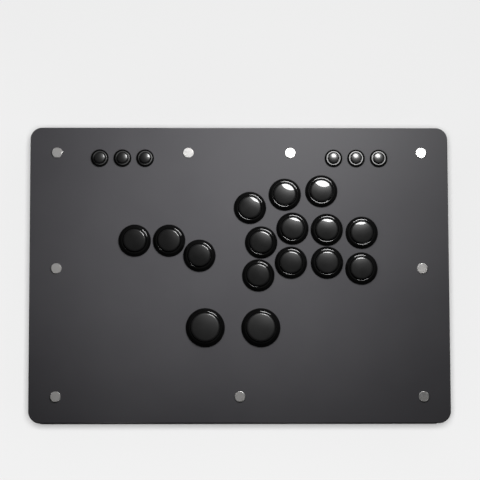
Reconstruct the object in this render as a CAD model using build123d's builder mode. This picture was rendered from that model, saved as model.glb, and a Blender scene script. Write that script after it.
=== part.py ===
"""A leverless arcade control panel: a satin black plate with 22 push buttons, held by magnets on its case.

Frame: millimetres, +X to the player's right, +Y away from the player, +Z up. The origin is on the desk,
under the middle of the plate. Buttons are drawn once round their own axis, with z = 0 on the plate's top
face, and then copied to their places.
"""

import math
import os
from types import SimpleNamespace

from build123d import *

# ---------------------------------------------------------------- driving dimensions
PANEL_WIDTH = 360.0
PANEL_DEPTH = 255.0
PANEL_RADIUS = 10.0
PANEL_THICK = 4.0
PANEL_EDGE = 0.5  # chamfer round the plate's top edge

OVERHANG = 2.0  # the plate stands proud of the case by this much all round
WALL = 4.0
FOOT_HEIGHT = 3.0
BASE_THICK = 3.0
FRAME_HEIGHT = 38.0

BASE_TOP = FOOT_HEIGHT + BASE_THICK
FRAME_TOP = BASE_TOP + FRAME_HEIGHT
PANEL_TOP = FRAME_TOP + PANEL_THICK
CASE_WIDTH = PANEL_WIDTH - 2 * OVERHANG
CASE_DEPTH = PANEL_DEPTH - 2 * OVERHANG
CASE_RADIUS = PANEL_RADIUS - OVERHANG
INNER_WIDTH = CASE_WIDTH - 2 * WALL
INNER_DEPTH = CASE_DEPTH - 2 * WALL

# Magnets: one in the plate, standing 1 mm proud of both faces, over one in each boss of the frame.
MAGNET_RADIUS = 4.5
MAGNET_PROUD = 1.0
MAGNET_EDGE = 0.45
GLUE_GAP = 0.05
SEAT_GAP = 0.3  # room round the plate's magnet where it drops into the boss
CASE_MAGNET_HEIGHT = 4.0
MAGNET_AIR_GAP = 0.1
MAGNET_X = 157.0
MAGNET_REAR_Y = 105.5
MAGNET_FRONT_Y = -105.0
MAGNET_MIDDLE_Y = 5.0
MAGNET_INNER_X = 44.0
BOSS_RADIUS = 7.5
RIB_THICK = 3.0

REAR_PAIR = [(-MAGNET_INNER_X, MAGNET_REAR_Y), (MAGNET_INNER_X, MAGNET_REAR_Y)]
SIDE_PAIR = [(-MAGNET_X, MAGNET_MIDDLE_Y), (MAGNET_X, MAGNET_MIDDLE_Y)]
CORNERS = [(sx * MAGNET_X, y) for sx in (-1, 1) for y in (MAGNET_FRONT_Y, MAGNET_REAR_Y)]
FRONT_ONE = [(0.0, MAGNET_FRONT_Y)]
MAGNETS = REAR_PAIR + SIDE_PAIR + CORNERS + FRONT_ONE

# Fasteners
SCREW_RADIUS = 1.5
THREAD_GAP = 0.05
BASE_SCREW_LENGTH = 14.0
BASE_SCREW_HEAD = 3.0
BASE_SCREW_POINT = 1.0
BASE_SCREW_CROSS = (3.6, 0.7, 1.6)  # length, width and depth (doubled) of the driver's cross
BOARD_SCREW_RADIUS = 1.1
BOARD_SCREW_LENGTH = 5.0
BOARD_SCREW_HEAD = (2.7, 1.8)  # radius, height
BOARD_SCREW_ROUND = 0.8
BOARD_SCREW_CROSS = (3.0, 0.6, 1.6)
FOOT_RADIUS = 9.0
FOOT_EDGE = 0.8
FEET = [(x, y) for x in (-138.0, 0.0, 138.0) for y in (-86.0, 86.0)]

# Buttons. Radii and heights of one size; heights are above (or, if negative, below) the plate's top face.
BUTTON_24 = SimpleNamespace(
    flange=13.9, crest=10.6, flat=0.1, crest_height=3.6, lip=1.0, mouth=9.85,
    hole=12.0, barrel=11.9, bore=10.45,
    plunger=9.6, collar=10.2, crown=6.6, dome=70.0, shoulder=1.4, clip_reach=13.0,
)
BUTTON_30 = SimpleNamespace(
    flange=16.7, crest=13.3, flat=0.1, crest_height=3.9, lip=1.0, mouth=12.6,
    hole=15.0, barrel=14.9, bore=13.3,
    plunger=12.35, collar=13.05, crown=7.0, dome=90.0, shoulder=1.6, clip_reach=16.0,
)
FLANGE_EDGE = 0.9
MOUTH_EDGE = 0.2
BARREL_DEPTH = 21.0
CARRIER_THICK = 2.0
CARRIER_GAP = 0.05
CLIP_WIDTH = 7.0
CLIP_CATCH = 1.0  # upright face of the catch, then its ramp
CLIP_RAMP = 5.0
CLIP_SLOT = 1.0
CLIP_SLOT_HEIGHT = 13.0
CLIP_GAP = 0.1
CLIP_ROOT = 0.3  # how deep a clip is let into the barrel
CLIP_SIDE = 0.2  # barrel left between a clip and its slots
CAP_THICK = 1.8
COLLAR_THICK = 2.0
COLLAR_GAP = 0.1
SKIRT_DEPTH = 7.0
SKIRT_WALL = 1.5
STEM_RADIUS = 1.3
STEM_DEPTH = 13.2
TRAVEL = 3.5
SWITCH_SIZE = (13.0, 11.0, 6.0)
SWITCH_EDGE = 0.6
WELL_GAP = 0.25  # round the stem
WELL_SPARE = 0.5  # under the stem at full travel
BLADE = (2.8, 0.5, 7.0)
BLADE_OFFSET = 3.5
SLEEVE_RADIUS = 2.1
SLEEVE_TOP = 25.5
SLEEVE_BOTTOM = 18.5
SLEEVE_GAP = 0.1

# Small option buttons, held from below by a nut.
OPTION = SimpleNamespace(
    flange=7.6, crest=5.35, flat=0.45, crest_height=2.1, lip=0.5, mouth=4.85,
    hole=6.0, barrel=5.9, bore=5.2,
    plunger=4.6, collar=5.0, crown=5.2, dome=28.0, shoulder=0.7, depth=18.0, lug_offset=2.5,
)
OPTION_PLUNGER_DEPTH = 8.0
OPTION_COLLAR_THICK = 2.3
OPTION_FLOOR = 2.0
THREAD_PITCH = 1.0
THREAD_GROOVE = 0.4
THREAD_GROOVES = 7
THREAD_DEPTH = 0.25
SPRING_RADIUS = 3.5
SPRING_PITCH = 1.6
SPRING_WIRE = 0.3
SPRING_CLEARANCE = 0.15
OPTION_LUG = (2.0, 0.5, 5.0)
OPTION_SLEEVE_RADIUS = 1.6
OPTION_SLEEVE_TOP = 27.5
OPTION_SLEEVE_BOTTOM = 22.0
NUT_ACROSS_FLATS = 14.0
NUT_THICK = 2.4
NUT_GAP = 0.02
WASHER_THICK = 0.6
WASHER_REACH = 1.9  # beyond the hole, all round

# Layout of the play buttons: name, x, y, and how far the wire's lane steps sideways from the switch.
MOVE_BUTTONS = [("left", -90.0, 29.0, 4.0), ("down", -60.5, 29.0, 0.0), ("right", -34.5, 16.0, 0.0)]
THUMB_BUTTONS = [("thumb_left", -29.5, -46.0, 0.0), ("thumb_right", 18.0, -46.0, 5.0)]
LOW_ROW = [
    ("low_1", 16.0, -1.0, -3.0), ("low_2", 44.0, 10.0, 4.0), ("low_3", 75.0, 10.0, 4.0),
    ("low_4", 104.5, 5.0, 4.0),
]
MID_ROW = [
    ("mid_1", 18.5, 27.5, 0.0), ("mid_2", 45.5, 39.5, 0.0), ("mid_3", 75.0, 38.5, 0.0),
    ("mid_4", 105.0, 36.0, 0.0),
]
TOP_ROW = [("top_1", 9.0, 57.5, 0.0), ("top_2", 39.0, 69.0, 0.0), ("top_3", 70.5, 72.0, 0.0)]
SMALL_PLAY = MOVE_BUTTONS + LOW_ROW + MID_ROW + TOP_ROW
PLAY_BUTTONS = SMALL_PLAY + THUMB_BUTTONS
OPTION_PITCH = 19.5
OPTION_CENTRE_X = 100.75
OPTION_Y = 100.75
OPTIONS = [
    (f"option_{n + 1}", side * OPTION_CENTRE_X + (n % 3 - 1) * OPTION_PITCH, OPTION_Y)
    for n, side in enumerate((-1, -1, -1, 1, 1, 1))
]

# Encoder board, flat on the base plate behind the buttons.
BOARD_SIZE = (64.0, 32.5, 1.6)
BOARD_CORNER = 2.0
BOARD_HOLE_GAP = 0.1
BOARD_FRONT = 88.0
BOARD_CENTRE = (0.0, BOARD_FRONT + BOARD_SIZE[1] / 2)
SPACER_HEIGHT = 3.0
SPACER_ACROSS_FLATS = 5.5
SPACER_STUD = 2.5
SPACER_SPARE = 0.6  # hole left under the board screw's point
BOARD_BOTTOM = BASE_TOP + SPACER_HEIGHT
BOARD_TOP = BOARD_BOTTOM + BOARD_SIZE[2]
BOARD_HOLES = [(x, y) for x in (-28.5, 28.5) for y in (103.5, 117.0)]
HEADER_HEIGHT = 4.8
HEADER_DEPTH = 5.0
HEADER_WALL = 0.8
HEADER_END = 1.8
PLUG_OUTSIDE = 3.0
PLUG_GAP = 0.1
PIN_PITCH = 2.0
LANE_PITCH = 1.8
WIRE_RADIUS = 0.6
WIRE_LEVEL = BOARD_TOP + HEADER_HEIGHT / 2
FIRST_LANE = 84.0 - PLUG_OUTSIDE
RIGHT_PINS = [23.0 - PIN_PITCH * n for n in range(12)]
LEFT_PINS = [-23.0 + PIN_PITCH * n for n in range(5)]
SIDE_PINS = [96.0 - PIN_PITCH * n for n in range(4)]
JUMPER_LEVEL = 16.0
LUG_JUMPER_LEVEL = 19.0

# A wire drops straight from its sleeve to one of these levels, then runs sideways on its way to its lane.
PLAY_DROP = 15.6
LUG_DROP = 16.0
LUG_GROUND_DROP = 16.5
SHORTEST_REACH = 4.0
LUG_REACH = 3.0
GROUND_REACH = 5.0
LUG_GROUND_REACH = (6.0, 2.0)
WIDEST_BEND = 6.0
BEND_SHARE = 0.45  # an arc's share of the shorter of its two runs

# Socket for the lead, in the back wall.
SOCKET_SIZE = (8.94, 7.35, 3.2)
SOCKET_WALL = 0.35
SOCKET_CORNER = 1.55
SOCKET_BACK = 1.0
SOCKET_TONGUE = (6.7, 0.7)
TONGUE_SETBACK = 0.8
TONGUE_SUNK = 0.2  # into the socket's back
SOCKET_LEVEL = BOARD_TOP + SOCKET_SIZE[2] / 2
RECESS_SIZE = (13.0, 7.4)
RECESS_CORNER = 3.0
RECESS_DEPTH = 2.0
SLOT_SIZE = (9.6, 3.9)
SLOT_CORNER = 1.9

# How a shape sits on the point it is placed at: standing on it, or hanging below it.
STANDING = (Align.CENTER, Align.CENTER, Align.MIN)
HANGING = (Align.CENTER, Align.CENTER, Align.MAX)

os.makedirs("parts", exist_ok=True)


def save(part, name):
    """Labels a finished piece and writes it as its own STEP file."""
    part.label = name
    export_step(part, f"parts/{name}.step")


def places(points, level):
    """Locations at the given (x, y) points on one level."""
    return Locations(*[(x, y, level) for x, y in points])


# ---------------------------------------------------------------- the plate and its magnets
with BuildPart() as top_panel:
    with BuildSketch(Plane.XY.offset(FRAME_TOP)):
        RectangleRounded(PANEL_WIDTH, PANEL_DEPTH, PANEL_RADIUS)
    extrude(amount=PANEL_THICK)
    chamfer(top_panel.faces().sort_by(Axis.Z)[-1].outer_wire().edges(), PANEL_EDGE)
    with places([(x, y) for _, x, y, _ in SMALL_PLAY], PANEL_TOP):
        Hole(BUTTON_24.hole, depth=PANEL_THICK)
    with places([(x, y) for _, x, y, _ in THUMB_BUTTONS], PANEL_TOP):
        Hole(BUTTON_30.hole, depth=PANEL_THICK)
    with places([(x, y) for _, x, y in OPTIONS], PANEL_TOP):
        Hole(OPTION.hole, depth=PANEL_THICK)
    with places(MAGNETS, PANEL_TOP):
        Hole(MAGNET_RADIUS + GLUE_GAP, depth=PANEL_THICK)
save(top_panel.part, "top_panel")


def magnet_set(bottom, height, name):
    """Nine plated discs with bevelled rims, standing at the magnet places."""
    with BuildPart() as magnets:
        with places(MAGNETS, bottom):
            Cylinder(MAGNET_RADIUS, height, align=STANDING)
        chamfer(magnets.edges().filter_by(GeomType.CIRCLE), MAGNET_EDGE)
    save(magnets.part, name)


PLATE_MAGNET_BOTTOM = FRAME_TOP - MAGNET_PROUD
CASE_MAGNET_TOP = PLATE_MAGNET_BOTTOM - MAGNET_AIR_GAP
magnet_set(PLATE_MAGNET_BOTTOM, PANEL_THICK + 2 * MAGNET_PROUD, "panel_magnets")
magnet_set(CASE_MAGNET_TOP - CASE_MAGNET_HEIGHT, CASE_MAGNET_HEIGHT, "case_magnets")

# ---------------------------------------------------------------- the case
# A rib ties each boss to the nearest wall; a corner boss has one to each of its two walls.
SIDE_RIBS = SIDE_PAIR + CORNERS
END_RIBS = REAR_PAIR + CORNERS + FRONT_ONE

with BuildPart() as case_frame:
    with BuildSketch(Plane.XY.offset(BASE_TOP)):
        RectangleRounded(CASE_WIDTH, CASE_DEPTH, CASE_RADIUS)
        RectangleRounded(INNER_WIDTH, INNER_DEPTH, CASE_RADIUS - WALL, mode=Mode.SUBTRACT)
    extrude(amount=FRAME_HEIGHT)
    with BuildSketch(Plane.XY.offset(BASE_TOP)):
        with Locations(*MAGNETS):
            Circle(BOSS_RADIUS)
        for x, y in SIDE_RIBS:
            side = math.copysign(1, x)
            run = CASE_WIDTH / 2 - WALL / 2 - abs(x)
            with Locations((x + side * run / 2, y)):
                Rectangle(run, RIB_THICK)
        for x, y in END_RIBS:
            side = math.copysign(1, y)
            run = CASE_DEPTH / 2 - WALL / 2 - abs(y)
            with Locations((x, y + side * run / 2)):
                Rectangle(RIB_THICK, run)
    extrude(amount=FRAME_HEIGHT)
    with places(MAGNETS, FRAME_TOP):
        Hole(MAGNET_RADIUS + SEAT_GAP, depth=MAGNET_PROUD + MAGNET_AIR_GAP)
        Hole(MAGNET_RADIUS + GLUE_GAP, depth=FRAME_TOP - CASE_MAGNET_TOP + CASE_MAGNET_HEIGHT)
    with BuildSketch(Plane.XY.offset(BASE_TOP)):
        with Locations(*MAGNETS):
            Circle(SCREW_RADIUS + THREAD_GAP)
    extrude(amount=BASE_SCREW_LENGTH, mode=Mode.SUBTRACT)
    back_face = Plane(origin=(0, CASE_DEPTH / 2, SOCKET_LEVEL), x_dir=(1, 0, 0), z_dir=(0, -1, 0))
    with BuildSketch(back_face):
        RectangleRounded(*RECESS_SIZE, RECESS_CORNER)
    extrude(amount=RECESS_DEPTH, mode=Mode.SUBTRACT)
    with BuildSketch(back_face):
        RectangleRounded(*SLOT_SIZE, SLOT_CORNER)
    extrude(amount=WALL, mode=Mode.SUBTRACT)
save(case_frame.part, "case_frame")

with BuildPart() as base_plate:
    with BuildSketch(Plane.XY.offset(FOOT_HEIGHT)):
        RectangleRounded(CASE_WIDTH, CASE_DEPTH, CASE_RADIUS)
        with Locations(*BOARD_HOLES):
            Circle(SCREW_RADIUS + THREAD_GAP, mode=Mode.SUBTRACT)
    extrude(amount=BASE_THICK)
    under_face = Plane(origin=(0, 0, FOOT_HEIGHT), x_dir=(1, 0, 0), z_dir=(0, 0, -1))
    with Locations(under_face):
        with Locations(*[(x, -y, 0) for x, y in MAGNETS]):
            CounterSinkHole(SCREW_RADIUS + THREAD_GAP, BASE_SCREW_HEAD + THREAD_GAP, depth=BASE_THICK)
save(base_plate.part, "base_plate")


def cross_recess(length, width, depth):
    """Cuts a driver's cross into a screw head at the current location; half its depth is in the head."""
    Box(length, width, depth, mode=Mode.SUBTRACT)
    Box(width, length, depth, mode=Mode.SUBTRACT)


with BuildPart() as base_screw:
    with BuildSketch(Plane.XZ):
        with BuildLine():
            cone = BASE_SCREW_HEAD - SCREW_RADIUS
            Polyline(
                (0, 0), (BASE_SCREW_HEAD, 0), (SCREW_RADIUS, cone),
                (SCREW_RADIUS, BASE_SCREW_LENGTH - BASE_SCREW_POINT), (0, BASE_SCREW_LENGTH), close=True,
            )
        make_face()
    revolve(axis=Axis.Z)
    cross_recess(*BASE_SCREW_CROSS)

with BuildPart() as base_screws:
    with places(MAGNETS, FOOT_HEIGHT):
        add(base_screw.part)
save(base_screws.part, "base_screws")

with BuildPart() as rubber_feet:
    with places(FEET, 0):
        Cylinder(FOOT_RADIUS, FOOT_HEIGHT, align=STANDING)
    fillet(rubber_feet.edges().filter_by(GeomType.CIRCLE).group_by(Axis.Z)[0], FOOT_EDGE)
save(rubber_feet.part, "rubber_feet")


# ---------------------------------------------------------------- snap-in play buttons
def housing_profile(size, bottom):
    """Half section of a flanged barrel: a narrow crest, rounded down to the mouth, and a cone to the edge."""
    lip_edge = size.mouth + MOUTH_EDGE
    inner = (size.crest, size.crest_height - size.lip)
    outer = (size.crest + size.flat, size.crest_height - size.lip)
    inward = math.degrees(math.asin((size.crest - lip_edge) / size.lip))
    lip_height = inner[1] + size.lip * math.cos(math.radians(inward))
    run, drop = size.flange - outer[0], FLANGE_EDGE - outer[1]
    tangent = math.degrees(math.atan2(drop, run) + math.acos(size.lip / math.hypot(run, drop)))
    with BuildSketch(Plane.XZ) as section:
        with BuildLine():
            lip = CenterArc(inner, size.lip, 90, inward)
            Line((size.crest, size.crest_height), (size.crest + size.flat, size.crest_height))
            rounding = CenterArc(outer, size.lip, tangent, 90 - tangent)
            Polyline(
                lip @ 1, (size.mouth, lip_height - MOUTH_EDGE), (size.mouth, 0), (size.bore, 0),
                (size.bore, bottom), (size.barrel, bottom), (size.barrel, 0), (size.flange, 0),
                (size.flange, FLANGE_EDGE), rounding @ 0,
            )
        make_face()
    return section.sketch


def snap_in_housing(size):
    """Flanged barrel with two sprung clips that catch under the plate."""
    catch_top = -PANEL_THICK - CLIP_GAP
    ramp_top = catch_top - CLIP_CATCH
    root = size.barrel - CLIP_ROOT
    half_angle = math.degrees((CLIP_WIDTH / 2) / size.barrel)
    slot_y = (CLIP_WIDTH + CLIP_SLOT) / 2 + CLIP_SIDE
    with BuildPart() as housing:
        add(housing_profile(size, -BARREL_DEPTH))
        revolve(axis=Axis.Z)
        for side in (0, 180):
            turn = side - half_angle
            outward = Vector(1, 0, 0).rotate(Axis.Z, turn)
            start = Plane((0, 0, 0), outward, Vector(0, -1, 0).rotate(Axis.Z, turn))
            with BuildSketch(start):
                with BuildLine():
                    Polyline(
                        (root, catch_top), (size.clip_reach, catch_top), (size.clip_reach, ramp_top),
                        (root, ramp_top - CLIP_RAMP), close=True,
                    )
                make_face()
            revolve(axis=Axis.Z, revolution_arc=2 * half_angle)
        with Locations((0, slot_y, catch_top + CLIP_CATCH), (0, -slot_y, catch_top + CLIP_CATCH)):
            Box(4 * size.barrel, CLIP_SLOT, CLIP_SLOT_HEIGHT, align=HANGING, mode=Mode.SUBTRACT)
    return housing.part


def cap_edge(size):
    """Height at which the cap's dome would meet its side."""
    return size.crown - size.dome + math.sqrt(size.dome**2 - size.plunger**2)


def snap_in_plunger(size):
    """Domed cap with a hollow skirt, a collar that stops it under the bezel and a stem on the switch."""
    edge = cap_edge(size)
    under = edge - CAP_THICK
    inside = size.plunger - SKIRT_WALL
    with BuildPart() as plunger:
        with BuildSketch(Plane.XZ) as section:
            with BuildLine():
                Polyline(
                    (size.plunger, edge), (size.plunger, -COLLAR_GAP), (size.collar, -COLLAR_GAP),
                    (size.collar, -COLLAR_GAP - COLLAR_THICK), (size.plunger, -COLLAR_GAP - COLLAR_THICK),
                    (size.plunger, -SKIRT_DEPTH), (inside, -SKIRT_DEPTH), (inside, under),
                    (STEM_RADIUS, under), (STEM_RADIUS, -STEM_DEPTH), (0, -STEM_DEPTH), (0, size.crown),
                )
                RadiusArc((0, size.crown), (size.plunger, edge), size.dome)
            make_face()
            fillet(section.vertices().group_by(Axis.Y)[-2], size.shoulder)
        revolve(axis=Axis.Z)
    return plunger.part


def switch_unit(size):
    """Round carrier that closes the barrel, with the microswitch on it and a well for the stem."""
    with BuildPart() as unit:
        with Locations((0, 0, -BARREL_DEPTH)):
            Cylinder(size.bore - CARRIER_GAP, CARRIER_THICK, align=STANDING)
        with Locations((0, 0, CARRIER_THICK - BARREL_DEPTH)):
            Box(*SWITCH_SIZE, align=STANDING)
        chamfer(unit.edges().filter_by(Axis.Z), SWITCH_EDGE)
        well_top = CARRIER_THICK - BARREL_DEPTH + SWITCH_SIZE[2]
        with Locations((0, 0, well_top)):
            Hole(STEM_RADIUS + WELL_GAP, depth=STEM_DEPTH + TRAVEL + well_top + WELL_SPARE)
    return unit.part


def copy_to(template, name, x, y):
    """Writes one node: the template moved to a button's place on the plate."""
    with BuildPart() as piece:
        with Locations((x, y, PANEL_TOP)):
            add(template)
    save(piece.part, name)


small_housing = snap_in_housing(BUTTON_24)
large_housing = snap_in_housing(BUTTON_30)
small_plunger = snap_in_plunger(BUTTON_24)
large_plunger = snap_in_plunger(BUTTON_30)
for name, x, y, _ in SMALL_PLAY:
    copy_to(small_housing, f"housing_{name}", x, y)
    copy_to(small_plunger, f"plunger_{name}", x, y)
for name, x, y, _ in THUMB_BUTTONS:
    copy_to(large_housing, f"housing_{name}", x, y)
    copy_to(large_plunger, f"plunger_{name}", x, y)

with BuildPart() as microswitches:
    with places([(x, y) for _, x, y, _ in SMALL_PLAY], PANEL_TOP):
        add(switch_unit(BUTTON_24))
    with places([(x, y) for _, x, y, _ in THUMB_BUTTONS], PANEL_TOP):
        add(switch_unit(BUTTON_30))
save(microswitches.part, "microswitches")

# ---------------------------------------------------------------- option buttons
with BuildPart() as groove:
    Cylinder(OPTION.barrel + 1, THREAD_GROOVE)
    Cylinder(OPTION.barrel - THREAD_DEPTH, THREAD_GROOVE, mode=Mode.SUBTRACT)

with BuildPart() as option_bushing:
    add(housing_profile(OPTION, -OPTION.depth))
    revolve(axis=Axis.Z)
    with Locations((0, 0, -OPTION.depth)):
        Cylinder(OPTION.barrel, OPTION_FLOOR, align=HANGING)
    with Locations(*[(0, 0, -PANEL_THICK - THREAD_PITCH * n) for n in range(1, THREAD_GROOVES + 1)]):
        add(groove.part, mode=Mode.SUBTRACT)

with BuildPart() as option_bushings:
    with places([(x, y) for _, x, y in OPTIONS], PANEL_TOP):
        add(option_bushing.part)
save(option_bushings.part, "option_bushings")

with BuildPart() as option_plunger:
    edge = cap_edge(OPTION)
    with BuildSketch(Plane.XZ) as section:
        with BuildLine():
            collar_foot = -COLLAR_GAP - OPTION_COLLAR_THICK
            Polyline(
                (0, OPTION.crown), (0, -OPTION_PLUNGER_DEPTH), (OPTION.plunger, -OPTION_PLUNGER_DEPTH),
                (OPTION.plunger, collar_foot), (OPTION.collar, collar_foot), (OPTION.collar, -COLLAR_GAP),
                (OPTION.plunger, -COLLAR_GAP), (OPTION.plunger, edge),
            )
            RadiusArc((0, OPTION.crown), (OPTION.plunger, edge), OPTION.dome)
        make_face()
        fillet(section.vertices().group_by(Axis.Y)[-2], OPTION.shoulder)
    revolve(axis=Axis.Z)
for name, x, y in OPTIONS:
    copy_to(option_plunger.part, f"plunger_{name}", x, y)

# The spring that lifts each option plunger, between its foot and the bottom of the bushing.
spring_foot = -OPTION.depth + SPRING_WIRE + SPRING_CLEARANCE
spring_height = OPTION.depth - OPTION_PLUNGER_DEPTH - 2 * (SPRING_WIRE + SPRING_CLEARANCE)
with BuildPart() as option_spring:
    with BuildLine():
        coil = Helix(SPRING_PITCH, spring_height, SPRING_RADIUS, center=(0, 0, spring_foot))
    with BuildSketch(Plane(origin=coil @ 0, z_dir=coil % 0)):
        Circle(SPRING_WIRE)
    sweep(path=coil, is_frenet=True)

with BuildPart() as option_springs:
    with places([(x, y) for _, x, y in OPTIONS], PANEL_TOP):
        add(option_spring.part)
save(option_springs.part, "option_springs")

with BuildPart() as option_nut:
    with BuildSketch(Plane.XY.offset(-PANEL_THICK)):
        Circle(OPTION.hole + WASHER_REACH)
        Circle(OPTION.barrel + THREAD_GAP, mode=Mode.SUBTRACT)
    extrude(amount=-WASHER_THICK)
    with BuildSketch(Plane.XY.offset(-PANEL_THICK - WASHER_THICK - NUT_GAP)):
        RegularPolygon(NUT_ACROSS_FLATS / 2, 6, major_radius=False)
        Circle(OPTION.barrel + THREAD_GAP, mode=Mode.SUBTRACT)
    extrude(amount=-NUT_THICK)

with BuildPart() as option_nuts:
    with places([(x, y) for _, x, y in OPTIONS], PANEL_TOP):
        add(option_nut.part)
save(option_nuts.part, "option_nuts")

# ---------------------------------------------------------------- blades and their sleeves
PLAY_BLADES = [(x, y + side * BLADE_OFFSET) for _, x, y, _ in PLAY_BUTTONS for side in (-1, 1)]
OPTION_LUGS = [(x, y + side * OPTION.lug_offset) for _, x, y in OPTIONS for side in (-1, 1)]
BLADE_TOP = PANEL_TOP - BARREL_DEPTH
LUG_TOP = PANEL_TOP - OPTION.depth - OPTION_FLOOR

with BuildPart() as terminals:
    with places(PLAY_BLADES, BLADE_TOP):
        Box(*BLADE, align=HANGING)
    with places(OPTION_LUGS, LUG_TOP):
        Box(*OPTION_LUG, align=HANGING)
save(terminals.part, "switch_terminals")

with BuildPart() as sleeves:
    with places(PLAY_BLADES, SLEEVE_BOTTOM):
        Cylinder(SLEEVE_RADIUS, SLEEVE_TOP - SLEEVE_BOTTOM, align=STANDING)
    with places(OPTION_LUGS, OPTION_SLEEVE_BOTTOM):
        Cylinder(OPTION_SLEEVE_RADIUS, OPTION_SLEEVE_TOP - OPTION_SLEEVE_BOTTOM, align=STANDING)
    for centres, blade, blade_top, sleeve_top in [
        (PLAY_BLADES, BLADE, BLADE_TOP, SLEEVE_TOP), (OPTION_LUGS, OPTION_LUG, LUG_TOP, OPTION_SLEEVE_TOP),
    ]:
        width, thick, length = [side + SLEEVE_GAP for side in blade]
        with places(centres, sleeve_top):
            Box(width, thick, sleeve_top - blade_top + length, align=HANGING, mode=Mode.SUBTRACT)
save(sleeves.part, "terminal_sleeves")

# ---------------------------------------------------------------- encoder board
with BuildPart() as board:
    with BuildSketch(Plane.XY.offset(BOARD_BOTTOM)):
        with Locations(BOARD_CENTRE):
            RectangleRounded(*BOARD_SIZE[:2], BOARD_CORNER)
        with Locations(*BOARD_HOLES):
            Circle(SCREW_RADIUS + BOARD_HOLE_GAP, mode=Mode.SUBTRACT)
    extrude(amount=BOARD_SIZE[2])
save(board.part, "encoder_board")

with BuildPart() as spacers:
    with BuildSketch(Plane.XY.offset(BASE_TOP)):
        with Locations(*BOARD_HOLES):
            RegularPolygon(SPACER_ACROSS_FLATS / 2, 6, major_radius=False)
    extrude(amount=SPACER_HEIGHT)
    with places(BOARD_HOLES, BASE_TOP):
        Cylinder(SCREW_RADIUS, SPACER_STUD, align=HANGING)
    with places(BOARD_HOLES, BOARD_BOTTOM):
        Hole(BOARD_SCREW_RADIUS + THREAD_GAP, depth=BOARD_SCREW_LENGTH - BOARD_SIZE[2] + SPACER_SPARE)
save(spacers.part, "board_spacers")

with BuildPart() as board_screws:
    with places(BOARD_HOLES, BOARD_TOP):
        Cylinder(*BOARD_SCREW_HEAD, align=STANDING)
    fillet(board_screws.edges().filter_by(GeomType.CIRCLE).group_by(Axis.Z)[-1], BOARD_SCREW_ROUND)
    with places(BOARD_HOLES, BOARD_TOP):
        Cylinder(BOARD_SCREW_RADIUS, BOARD_SCREW_LENGTH, align=HANGING)
    with places(BOARD_HOLES, BOARD_TOP + BOARD_SCREW_HEAD[1]):
        cross_recess(*BOARD_SCREW_CROSS)
save(board_screws.part, "board_screws")

CHIP_EDGE = 0.15
CHIPS = [  # x, y, width, depth, height of each part soldered to the board
    (0.0, 103.0, 10.0, 10.0, 1.4), (12.0, 106.0, 5.0, 3.2, 1.1), (-12.0, 106.0, 6.0, 4.0, 1.6),
    (12.0, 101.0, 2.0, 1.25, 0.8), (-10.0, 100.5, 2.0, 1.25, 0.8), (8.5, 110.0, 2.0, 1.25, 0.8),
    (-8.5, 110.0, 3.2, 1.6, 0.9), (15.0, 112.0, 4.5, 4.5, 1.8), (-16.0, 113.0, 4.0, 3.0, 2.0),
]
with BuildPart() as chips:
    for x, y, width, depth, height in CHIPS:
        with Locations((x, y, BOARD_TOP)):
            Box(width, depth, height, align=STANDING)
    tops = chips.faces().filter_by(Axis.Z).filter_by(lambda face: face.center().Z > BOARD_TOP + CHIP_EDGE)
    chamfer(tops.edges(), CHIP_EDGE)
save(chips.part, "board_chips")

# Headers: the row's first pin, number of pins, and the way the plug comes out.
HEADERS = [
    ((RIGHT_PINS[-1] + RIGHT_PINS[0]) / 2, BOARD_FRONT, len(RIGHT_PINS), -90),
    ((LEFT_PINS[-1] + LEFT_PINS[0]) / 2, BOARD_FRONT, len(LEFT_PINS), -90),
    (-BOARD_SIZE[0] / 2, (SIDE_PINS[-1] + SIDE_PINS[0]) / 2, len(SIDE_PINS), 180),
    (BOARD_SIZE[0] / 2, (SIDE_PINS[-1] + SIDE_PINS[0]) / 2, len(SIDE_PINS), 0),
]

with BuildPart() as headers:
    for x, y, pins, turn in HEADERS:
        length = PIN_PITCH * (pins - 1) + 2 * HEADER_END
        with Locations(Location((x, y, BOARD_TOP), (0, 0, turn))):
            Box(HEADER_DEPTH, length, HEADER_HEIGHT, align=(Align.MAX, Align.CENTER, Align.MIN))
        with Locations(Location((x, y, BOARD_TOP + HEADER_WALL), (0, 0, turn))):
            Box(HEADER_DEPTH - HEADER_WALL, length - 2 * HEADER_WALL, HEADER_HEIGHT - 2 * HEADER_WALL,
                align=(Align.MAX, Align.CENTER, Align.MIN), mode=Mode.SUBTRACT)
save(headers.part, "board_headers")

with BuildPart() as plugs:
    for x, y, pins, turn in HEADERS:
        length = PIN_PITCH * (pins - 1) + 2 * HEADER_END - 2 * HEADER_WALL - 2 * PLUG_GAP
        height = HEADER_HEIGHT - 2 * HEADER_WALL - 2 * PLUG_GAP
        inside = HEADER_DEPTH - HEADER_WALL - PLUG_GAP
        with Locations(Location((x, y, WIRE_LEVEL), (0, 0, turn))):
            Box(inside, length, height, align=(Align.MAX, Align.CENTER, Align.CENTER))
            Box(PLUG_OUTSIDE, length, height, align=(Align.MIN, Align.CENTER, Align.CENTER))
save(plugs.part, "harness_plugs")

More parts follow.
